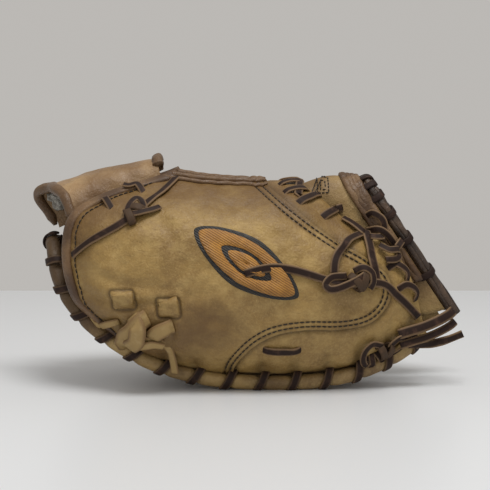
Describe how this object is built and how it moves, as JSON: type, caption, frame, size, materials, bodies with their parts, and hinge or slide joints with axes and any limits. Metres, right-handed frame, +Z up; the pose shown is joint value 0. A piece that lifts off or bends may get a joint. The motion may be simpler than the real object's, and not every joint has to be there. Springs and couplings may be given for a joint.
{
  "type": "baseball catcher's mitt",
  "caption": "Padded leather catcher's mitt, folded shut and standing on its rims, with a laced web and a fleece-lined wrist strap that flex as it opens.",
  "frame": {"origin": "on the floor under the middle of the folded mitt", "axes": "+X from the heel to the web, -Y the thumb side, +Z up to the fold"},
  "size_m": [0.3269, 0.1672, 0.1765],
  "materials": {
    "panel_leather": "worn tan cowhide",
    "palm_leather": "worn oiled tan cowhide",
    "web_leather": "worn tan cowhide",
    "strap_leather": "worn brown cowhide",
    "binding_leather": "folded brown binding",
    "welt_leather": "rolled tan welt",
    "web_rim_leather": "rolled dark brown rim",
    "dark_rawhide": "dark brown rawhide lace",
    "tan_rawhide": "undyed rawhide lace",
    "felt": "pressed wool felt",
    "lining_leather": "soft glove leather",
    "fleece": "matted synthetic fleece",
    "gold_embroidery": "gold satin stitch, black border"
  },
  "bodies": {
    "thumb_side": {"thumb_main_panel": "panel_leather", "thumb_tip_shell": "panel_leather", "thumb_wrist_binding": "binding_leather", "palm_thumb_section": "palm_leather", "thumb_pad": "felt", "thumb_stall_lining": "lining_leather", "thumb_rim_roll": "welt_leather", "thumb_rim_laces": "dark_rawhide", "thumb_rim_stitch": "dark_rawhide", "emblem_patch": "gold_embroidery", "thumb_loop_stitches": "tan_rawhide", "thumb_loop_knot": "tan_rawhide", "thumb_loop_bight": "tan_rawhide", "web_thumb_laces": "dark_rawhide", "tip_cross_lace": "dark_rawhide", "wrist_lace": "dark_rawhide", "wrist_lace_knot": "dark_rawhide", "tip_lace": "dark_rawhide", "tip_lace_knot": "dark_rawhide", "tip_loop_lace": "dark_rawhide", "tip_lace_tail": "dark_rawhide", "thumb_loop_tail": "tan_rawhide", "rim_knot": "dark_rawhide", "tip_wrap_lace": "dark_rawhide", "strap_thumb_laces": "dark_rawhide"},
    "finger_side": {"finger_main_panel": "panel_leather", "finger_tip_shell": "panel_leather", "finger_wrist_binding": "binding_leather", "palm_finger_section": "palm_leather", "finger_pad": "felt", "finger_stall_lining": "lining_leather", "finger_rim_roll": "welt_leather", "finger_rim_laces": "dark_rawhide", "web_finger_laces": "dark_rawhide", "strap_finger_laces": "dark_rawhide"},
    "center": {"palm_center_section": "palm_leather", "palm_center_pad": "felt", "hand_lining": "lining_leather", "heel_roll": "welt_leather", "heel_laces": "dark_rawhide", "web_pocket_panel": "web_leather", "web_outer_panel": "web_leather", "web_rim_roll": "web_rim_leather", "web_rim_strips": "binding_leather", "web_rim_laces": "dark_rawhide"},
    "strap": {"wrist_strap": "strap_leather", "strap_fleece": "fleece", "strap_wrist_binding": "binding_leather", "strap_crown_binding": "binding_leather"}
  },
  "joints": [
    {"name": "thumb_break", "type": "hinge", "parent": "thumb_side", "child": "center", "pos_m": [0, -0.014, 0.156], "axis": [1, 0, 0], "range_deg": [0, 25]},
    {"name": "finger_break", "type": "hinge", "parent": "center", "child": "finger_side", "pos_m": [0, 0.014, 0.156], "axis": [1, 0, 0], "range_deg": [0, 25]},
    {"name": "strap_lift", "type": "hinge", "parent": "thumb_side", "child": "strap", "pos_m": [-0.097, -0.024, 0.136], "axis": [0.8992, 0.249, 0.3597], "range_deg": [0, 28]}
  ],
  "couplings": [
    {"joint": "finger_break", "follows": "thumb_break", "ratio": 1},
    {"joint": "strap_lift", "follows": "thumb_break", "ratio": 1.1}
  ]
}
